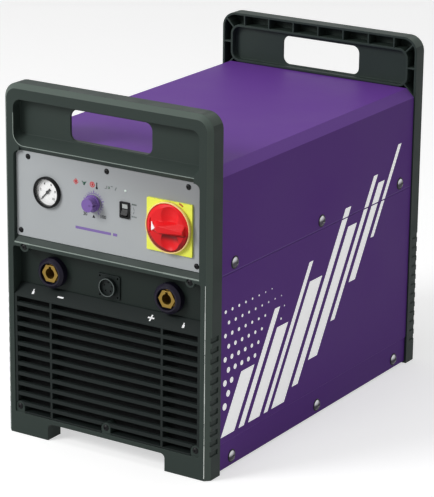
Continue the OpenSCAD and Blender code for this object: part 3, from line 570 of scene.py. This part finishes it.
def number(name, text, plane, u, v, height, look):
    """Plain figures, centred on a point of a plane."""
    origin, u_dir, v_dir = plane
    curve = bpy.data.curves.new(name, "FONT")
    curve.body = text
    curve.size = height * 1.38
    curve.align_x = curve.align_y = "CENTER"
    curve.extrude = 0.06 * MM
    curve.offset = height * 0.02
    loose = bpy.data.objects.new(name + "_curve", curve)
    bpy.context.scene.collection.objects.link(loose)
    bpy.context.view_layer.update()
    shaped = loose.evaluated_get(bpy.context.evaluated_depsgraph_get())
    mesh = bpy.data.meshes.new_from_object(shaped)
    bpy.data.objects.remove(loose)
    obj = bpy.data.objects.new(name, mesh)
    bpy.context.scene.collection.objects.link(obj)
    place = Matrix((u_dir, v_dir, u_dir.cross(v_dir))).transposed().to_4x4()
    place.translation = origin + u_dir * u + v_dir * v + u_dir.cross(v_dir) * 0.06 * MM
    mesh.transform(place)
    mesh.materials.clear()
    mesh.materials.append(look)
    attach(obj, BODY)
    return obj


def turned_ring(name, plane, u, v, profile, look, body=BODY, count=96, smooth=True):
    """A ring that stands on a plane round a point; profile is (radius, height) points."""
    origin, u_dir, v_dir = plane
    out = u_dir.cross(v_dir)
    centre = origin + u_dir * u + v_dir * v
    verts, faces = [], []
    n = len(profile)
    for k in range(count):
        a = 2 * math.pi * k / count
        for r, h in profile:
            verts.append(
                centre + (u_dir * (r * math.cos(a)) + v_dir * (r * math.sin(a)) + out * h)
            )
    for k in range(count):
        for i in range(n):
            a, b = k * n + i, k * n + (i + 1) % n
            c, d = ((k + 1) % count) * n + (i + 1) % n, ((k + 1) % count) * n + i
            faces.append([a, d, c, b])
    return add_mesh(name, verts, faces, look, body, smooth)


# ---- painted shadow: black rings round the heads of the screws in the sides of the case ----

SHADOW_RING = [
    (5.8 * MM, 0.0), (8.1 * MM, 0.0), (8.2 * MM, 0.5 * MM), (7.8 * MM, 1.0 * MM),
    (6.6 * MM, 1.1 * MM), (5.8 * MM, 0.9 * MM),
]
SCREWS_PER_ROW = 3
HEAD_HEIGHT = 4 * MM

for row in ("cover_screws", "side_panel_screws"):
    low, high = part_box(row)
    head = (high.z - low.z) / 2
    row_z = (low.z + high.z) / 2
    face = high.x - HEAD_HEIGHT
    for k in range(SCREWS_PER_ROW):
        row_y = low.y + head + (high.y - low.y - 2 * head) * k / (SCREWS_PER_ROW - 1)
        for side, plane, u in (("l", left_plane(-face), -row_y), ("r", right_plane(face), row_y)):
            turned_ring(
                "washer_%s_%d_%s" % (row, k, side), plane, u, row_z, SHADOW_RING,
                BLACK_SCREW, count=48, smooth=False,
            )

# ---- print on the control panel ----

panel = front_plane(PANEL_Y)

# Scale round the current knob, open at the bottom, with its least and greatest values
SCALE_START, SCALE_STEP, SCALE_TICKS = 240, 15, 21
FIGURE_Z = KNOB.z - 15.5 * MM
FIGURE_H = 4.3 * MM
scale = [arc(KNOB.x, KNOB.z, 11.4 * MM, 12.1 * MM, -62, 242, 64)]
for k in range(SCALE_TICKS):
    long = k % 5 == 0
    scale.append(
        tick(KNOB.x, KNOB.z, 12.4 * MM, (15.4 if long else 14.4) * MM,
             SCALE_START - k * SCALE_STEP, (1.3 if long else 0.8) * MM)
    )
print_on("knob_scale", panel, scale, INK_PURPLE)
number("knob_low", "20", panel, KNOB.x - 12.5 * MM, FIGURE_Z, FIGURE_H, INK)
number("knob_high", "100", panel, KNOB.x + 13.5 * MM, FIGURE_Z, FIGURE_H, INK)
print_on(
    "knob_mark", panel,
    [[(KNOB.x - 2.2 * MM, KNOB.z - 18.6 * MM), (KNOB.x + 2.2 * MM, KNOB.z - 18.6 * MM),
      (KNOB.x, KNOB.z - 14.6 * MM)]],
    INK,
)

# Signs round and beside the status lights: power, air, heat and cycle
LIGHT_Z = middle("status_lights").z
POWER_U, AIR_U, HEAT_U, CYCLE_U = (first_light + dx * MM for dx in LIGHT_STEPS[:4])

DIAMOND_R = 3.4 * MM
corners = [
    (POWER_U + DIAMOND_R * math.cos(a), LIGHT_Z + DIAMOND_R * math.sin(a))
    for a in (0, 1.57, 3.14, 4.71, 6.28)
]
print_on(
    "sign_power", panel, [stroke(*corners[k], *corners[k + 1], 0.9 * MM) for k in range(4)],
    INK_RED,
)
print_on(
    "sign_air", panel,
    strokes(AIR_U, LIGHT_Z, [(-3, 2.4, 0, -2.6, 1.1), (0, -2.6, 3, 2.4, 1.1)]),
    INK_GREEN,
)
print_on(
    "sign_heat", panel,
    [arc(HEAT_U, LIGHT_Z, 2.3 * MM, 3.6 * MM, 0, 359.9, 40)], INK_RED,
)
STEM_U, STEM_FOOT, STEM_TOP = HEAT_U + 6.6 * MM, LIGHT_Z - 3.4 * MM, LIGHT_Z + 3.4 * MM
print_on(
    "sign_thermometer", panel,
    [stroke(STEM_U, STEM_FOOT, STEM_U, STEM_TOP, 1.5 * MM), dot(STEM_U, STEM_FOOT, 1.5 * MM)],
    INK,
)
CYCLE = [
    (-6, -1.6, -3.4, -1.6, 0.7), (-3.6, -1.6, -2.6, 2, 0.7), (3, 2, 6, 2, 0.7),
    (9, -2, 11, 2, 0.9),
]
print_on("sign_cycle", panel, strokes(CYCLE_U, LIGHT_Z, CYCLE), INK_GREY)

# Signs of the two cutting modes, beside the rocker: a plain bar, and a broken one like a mesh,
# each with a short pointer
MODES_U = ROCKER.x + 12.5 * MM
MODES = [
    (-3, 8, 4, 8, 1.8), (-3, -7, -1.4, -7, 1.8), (-0.4, -7, 1.2, -7, 1.8), (2.2, -7, 3.8, -7, 1.8),
    (-1, 4.6, 0.6, 1, 0.6), (-1, -3.6, 0.6, -0.4, 0.6),
]
print_on("sign_modes", panel, strokes(MODES_U, ROCKER.z, MODES), INK_GREY)

# A plain stripe across the middle of the panel, with a gap
STRIPE_Z = 284 * MM
STRIPE = [(-46, 0, 6, 0, 3.4), (9, 0, 15, 0, 3.4)]
print_on("panel_stripe", panel, strokes(0, STRIPE_Z, STRIPE), INK_PURPLE)

# Painted reflection: a pale patch on the upper half of the rocker stands in for the light its
# glossy face reflects. The face there runs from FACE_FOOT to FACE_TOP, taken from the pivot before
# the rocker is tilted
ROCKER_TILT = math.radians(-11)
FACE_FOOT = Vector((0, -3 * MM, 1.2 * MM))
FACE_TOP = Vector((0, -4.4 * MM, 6.9 * MM))
PATCH_HALF, PATCH_FOOT, PATCH_TOP = 3.8 * MM, 0.2 * MM, 5.5 * MM
joints = frame["record"]["behaviour"]["joints"]
pivot = next(Vector(j["pos_m"]) for j in joints if j["name"] == "mode_rocker_tilt")
tilt = Matrix.Rotation(ROCKER_TILT, 3, "X")
reflection_up = (tilt @ (FACE_TOP - FACE_FOOT)).normalized()
reflection_plane = (pivot + tilt @ FACE_FOOT, Vector((1, 0, 0)), reflection_up)
print_on(
    "rocker_painted_reflection", reflection_plane,
    [[(-PATCH_HALF, PATCH_FOOT), (PATCH_HALF, PATCH_FOOT), (PATCH_HALF, PATCH_TOP),
      (-PATCH_HALF, PATCH_TOP)]],
    LIGHT_GREY, body="mode_lever",
)

# ---- pressure gauge ----

dial = front_plane(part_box("gauge_dial")[0].y)
GAUGE_START, GAUGE_SWEEP, GAUGE_TICKS = 225, 270, 31
FIGURES = 6
FIGURE_R = 10.9 * MM
marks = [arc(GAUGE.x, GAUGE.z, 15.6 * MM, 15.9 * MM, -45, 225, 64)]
for k in range(GAUGE_TICKS):
    long = k % 5 == 0
    marks.append(
        tick(GAUGE.x, GAUGE.z, (13.4 if long else 14.5) * MM, 15.7 * MM,
             GAUGE_START - k * GAUGE_SWEEP / (GAUGE_TICKS - 1), (0.5 if long else 0.22) * MM)
    )
print_on("gauge_marks", dial, marks, INK, thick=0.06 * MM)
for k in range(FIGURES):
    a = math.radians(GAUGE_START - k * GAUGE_SWEEP / (FIGURES - 1))
    number(
        "gauge_number_%d" % k, str(2 * k), dial,
        GAUGE.x + FIGURE_R * math.cos(a), GAUGE.z + FIGURE_R * math.sin(a),
        3.1 * MM, INK,
    )
print_on(
    "gauge_band", dial, [arc(GAUGE.x, GAUGE.z, 16.1 * MM, 16.9 * MM, 40, 95, 20)],
    INK_GREEN, thick=0.06 * MM,
)

# ---- isolator ----

RIM = [
    (29.65 * MM, 0.6 * MM), (31.2 * MM, 0.6 * MM), (31.3 * MM, 3.4 * MM), (30.8 * MM, 4.4 * MM),
    (29.9 * MM, 4.4 * MM), (29.65 * MM, 3.6 * MM),
]
plate = front_plane(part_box("isolator_plate")[0].y)
turned_ring(
    "isolator_rim", plate, ISOLATOR.x, ISOLATOR.z, RIM, CREAM,
    body="isolator_switch",
)
print_on(
    "isolator_mark", plate,
    [arc(ISOLATOR.x, ISOLATOR.z, 33 * MM, 35.2 * MM, 56, 66, 6)],
    INK_ORANGE,
)

# ---- signs on the sloping shelf over the grille ----

shelf_low, shelf_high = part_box("front_grille")
SHELF_RUN = 14.2 * MM
SHELF_RISE = 12.0 * MM
slope = Vector((0, SHELF_RUN, SHELF_RISE)).normalized()
shelf = (Vector((0, shelf_low.y, shelf_high.z - SHELF_RISE)), Vector((1, 0, 0)), slope)

# A minus, a plus and a torch at either end, along the middle of the slope
SIGN_V = 8.2 * MM
SIGNS = [(-75.5, 0, -66.5, 0, 2.1), (58, 0, 67, 0, 2.0), (62.5, -4.4, 62.5, 4.4, 2.0)]
TORCH = [(0.7, -3.6, 0, 0.4, 3.1), (0, 0.2, -0.8, 3.3, 1.5)]
shelf_signs = strokes(0, SIGN_V, SIGNS)
for torch_u in (-112 * MM, 109 * MM):
    shelf_signs += strokes(torch_u, SIGN_V, TORCH)
print_on("shelf_signs", shelf, shelf_signs, WHITE)

# ---- lighter grey ring round the rim of the remote socket ----

REMOTE = middle("remote_socket")
print_on(
    "remote_rim", front_plane(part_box("remote_socket")[0].y),
    [arc(REMOTE.x, REMOTE.z, 10.5 * MM, 11.3 * MM, 0, 359.9, 48)],
    INK_GREY, thick=0.05 * MM,
)

# ---- painted highlight down the right edge of the front ----

EDGE_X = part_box("front_frame")[1].x - 6.3 * MM
HIGHLIGHT_TOP = 246 * MM


def highlight_strokes(x):
    """A thin broken line of painted highlight, a little wider and narrower along its length."""
    out, z, k = [], 3 * MM, 0
    while z < HIGHLIGHT_TOP:
        length = (17 + 9 * math.sin(2.1 * k)) * MM
        width = (0.85 + 0.25 * math.sin(1.3 * k + 1)) * MM
        out.append(stroke(x, z, x, min(z + length, HIGHLIGHT_TOP), width))
        z += length + (0.5 + 0.4 * math.sin(k)) * MM
        k += 1
    return out


face = front_plane(FRONT_Y)
print_on("edge_highlight_right", face, highlight_strokes(EDGE_X), HIGHLIGHT_GREY, thick=0.05 * MM)

# Painted highlights along the lips: under the panel, and round the mouth of the handle pocket
LIP_Z = 251.2 * MM
MOUTH_Z = 373.7 * MM
MOUTH_X = 134.6 * MM
MOUTH_R = 15.6 * MM
print_on(
    "lip_highlight", face,
    [stroke(-MOUTH_X, LIP_Z, -112 * MM, LIP_Z, 1.9 * MM),
     stroke(-112 * MM, LIP_Z, 84 * MM, LIP_Z, 1.4 * MM),
     stroke(84 * MM, LIP_Z, MOUTH_X, LIP_Z, 1.9 * MM)],
    SHEEN, thick=0.05 * MM,
)
print_on(
    "mouth_highlight", face,
    [stroke(MOUTH_R - MOUTH_X, MOUTH_Z, MOUTH_X - 8 * MM, MOUTH_Z, 0.9 * MM),
     arc(MOUTH_R - MOUTH_X, MOUTH_Z + MOUTH_R, MOUTH_R - 0.4 * MM, MOUTH_R + 0.4 * MM,
         180, 270, 12),
     stroke(-MOUTH_X, MOUTH_Z + MOUTH_R, -MOUTH_X, MOUTH_Z + 40 * MM, 0.7 * MM)],
    SHEEN, thick=0.05 * MM,
)

# The sides of the case: name, plane, and where the case starts and stops along the plane's u
SIDES = [
    ("right", right_plane(CASE_X), CASE_Y0, CASE_Y1),
    ("left", left_plane(-CASE_X), -CASE_Y1, -CASE_Y0),
]

# A painted highlight along the bent edge at the foot of the cover, on both sides
HEM_Z = SEAM_Z + 0.9 * MM
for side, plane, start, stop in SIDES:
    print_on(
        "hem_painted_highlight_" + side, plane,
        [stroke(start + 1 * MM, HEM_Z, stop - 1 * MM, HEM_Z, 1.0 * MM)],
        HEM_HIGHLIGHT, thick=0.04 * MM,
    )

# ---- white design, alike on both sides: slanted bars that rise from left to right, and dots ----

# All in mm, along u and up; the bars lean along u by BAR_LEAN for each mm up from BAR_FOOT
BAR_LEAN = 0.62
BAR_FOOT = 46
BARS = [
    # start, width, foot height, top height
    (4, 30, 46, 118), (44, 12, 46, 176), (66, 26, 46, 150), (102, 9, 46, 214), (120, 30, 46, 188),
    (160, 14, 60, 262), (184, 22, 84, 236), (216, 10, 120, 288), (236, 16, 160, 276),
    (262, 8, 206, 316),
]
SEAM = SEAM_Z / MM - 0.2
UNDER_SEAM, OVER_SEAM = SEAM - 1.2, SEAM + 0.6
# Rows of dots, as far as a line that leans with the bars and starts at DOT_STOP
DOT_ROWS, DOT_COLUMNS, DOT_PITCH = 11, 26, 15
DOT_START, DOT_FOOT, DOT_STOP = 12, 54, 45
DOT_RADIUS = 5.2
# Dots shrink along u and from row to row, and those under FADE_LEAST of the radius are left out
FADE_RUN, FADE_PER_ROW, FADE_LEAST = 420, 0.055, 0.16
# Free space that dots leave beside and over a bar
CLEAR_SIDE, CLEAR_TOP = 7, 6


def side_bars():
    """The bars, each cut in two where it crosses the seam under the cover."""
    out = []
    for start, width, foot, top in BARS:
        spans = [(foot, min(top, UNDER_SEAM))]
        if top > SEAM + 2:
            spans.append((OVER_SEAM, top))
        for low, high in spans:
            shift0, shift1 = (low - BAR_FOOT) * BAR_LEAN, (high - BAR_FOOT) * BAR_LEAN
            out.append(
                [((start + shift0) * MM, low * MM), ((start + width + shift0) * MM, low * MM),
                 ((start + width + shift1) * MM, high * MM), ((start + shift1) * MM, high * MM)]
            )
    return out


def side_dots():
    """Staggered dots in the gaps between the bars."""
    out = []
    for row in range(DOT_ROWS):
        for column in range(DOT_COLUMNS):
            a = DOT_START + column * DOT_PITCH + (row % 2) * DOT_PITCH / 2
            z = DOT_FOOT + row * DOT_PITCH
            fade = 1 - (a / FADE_RUN) - row * FADE_PER_ROW
            at_foot = a - (z - BAR_FOOT) * BAR_LEAN
            clear = not any(
                start - CLEAR_SIDE < at_foot < start + width + CLEAR_SIDE and z < top + CLEAR_TOP
                for start, width, foot, top in BARS
            )
            if fade > FADE_LEAST and clear and a < DOT_STOP + z * BAR_LEAN:
                out.append(dot(a * MM, z * MM, DOT_RADIUS * fade * MM, 20))
    return out


for side, plane, start, stop in SIDES:
    origin, u_dir, v_dir = plane
    flat = (origin + u_dir * start, u_dir, v_dir)
    print_on("side_bars_" + side, flat, side_bars(), VINYL)
    print_on("side_dots_" + side, flat, side_dots(), VINYL)

# ---- floor, light and camera ----


def seen_or(tree, seen, lit):
    """The value `seen` for camera, mirror and glass rays, and `lit` for all other light."""
    rays = tree.nodes.new("ShaderNodeLightPath")
    either = None
    for ray in ("Is Camera Ray", "Is Glossy Ray", "Is Transmission Ray"):
        if either is None:
            either = rays.outputs[ray]
            continue
        both = tree.nodes.new("ShaderNodeMath")
        both.operation = "MAXIMUM"
        tree.links.new(either, both.inputs[0])
        tree.links.new(rays.outputs[ray], both.inputs[1])
        either = both.outputs[0]
    pick = tree.nodes.new("ShaderNodeMapRange")
    pick.inputs["To Min"].default_value = lit
    pick.inputs["To Max"].default_value = seen
    tree.links.new(either, pick.inputs["Value"])
    return pick.outputs["Result"]


# Brightness of the white surroundings: as they are seen, and as they light the unit
SKY_SEEN, SKY_LIT = 1.0, 0.30
FLOOR_SEEN, FLOOR_LIT = 0.56, 0.0
FLOOR_TONE = 0.62

world = bpy.data.worlds.new("studio")
bpy.context.scene.world = world
world.use_nodes = True
background = world.node_tree.nodes["Background"]
background.inputs["Color"].default_value = (1, 1, 1, 1)
world.node_tree.links.new(
    seen_or(world.node_tree, SKY_SEEN, SKY_LIT), background.inputs["Strength"]
)

bpy.ops.mesh.primitive_circle_add(vertices=96, radius=9, fill_type="NGON", location=(0, 0, -0.0005))
floor = bpy.context.object
floor.name = "floor"
paint = bpy.data.materials.new("floor_white")
paint.use_nodes = True
floor_tree = paint.node_tree
floor_shader = floor_tree.nodes["Principled BSDF"]
floor_shader.inputs["Base Color"].default_value = (FLOOR_TONE, FLOOR_TONE, FLOOR_TONE, 1)
floor_shader.inputs["Roughness"].default_value = 0.9
floor_shader.inputs["Emission Color"].default_value = (1, 1, 1, 1)
floor_tree.links.new(
    seen_or(floor_tree, FLOOR_SEEN, FLOOR_LIT), floor_shader.inputs["Emission Strength"]
)
floor.data.materials.append(paint)
floor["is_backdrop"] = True


def lamp(name, place, aim, size, power):
    data = bpy.data.lights.new(name, "AREA")
    data.shape = "DISK"
    data.size = size
    data.energy = power
    obj = bpy.data.objects.new(name, data)
    bpy.context.scene.collection.objects.link(obj)
    obj.location = place
    obj.rotation_mode = "QUATERNION"
    obj.rotation_quaternion = (Vector(aim) - Vector(place)).to_track_quat("-Z", "Y")
    return obj


lamp("top", (-0.3, -0.2, 2.6), (0, 0, 0.3), 1.8, 14)
lamp("key", (-1.6, -2.4, 2.0), (0, -0.2, 0.25), 1.4, 73)

AZIMUTH, ELEVATION, ROLL = (math.radians(d) for d in (32.53, 17.68, 0.61))
AIM = Vector((-0.0045, 0.0030, 0.1980))
DISTANCE = 3.1137
LENS = 175.2

back = Vector(
    (math.sin(AZIMUTH) * math.cos(ELEVATION), -math.cos(AZIMUTH) * math.cos(ELEVATION),
     math.sin(ELEVATION))
)
level = Vector((math.cos(AZIMUTH), math.sin(AZIMUTH), 0))
upright = back.cross(level)
across = level * math.cos(ROLL) + upright * math.sin(ROLL)
upward = upright * math.cos(ROLL) - level * math.sin(ROLL)
lens = bpy.data.cameras.new("camera")
lens.lens = LENS
lens.sensor_width = 36
lens.clip_end = 50
camera = bpy.data.objects.new("camera", lens)
bpy.context.scene.collection.objects.link(camera)
stand = Matrix((across, upward, back)).transposed().to_4x4()
stand.translation = AIM + back * DISTANCE
camera.matrix_world = stand
bpy.context.scene.camera = camera
bpy.context.scene.view_settings.view_transform = "Standard"

low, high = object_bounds()
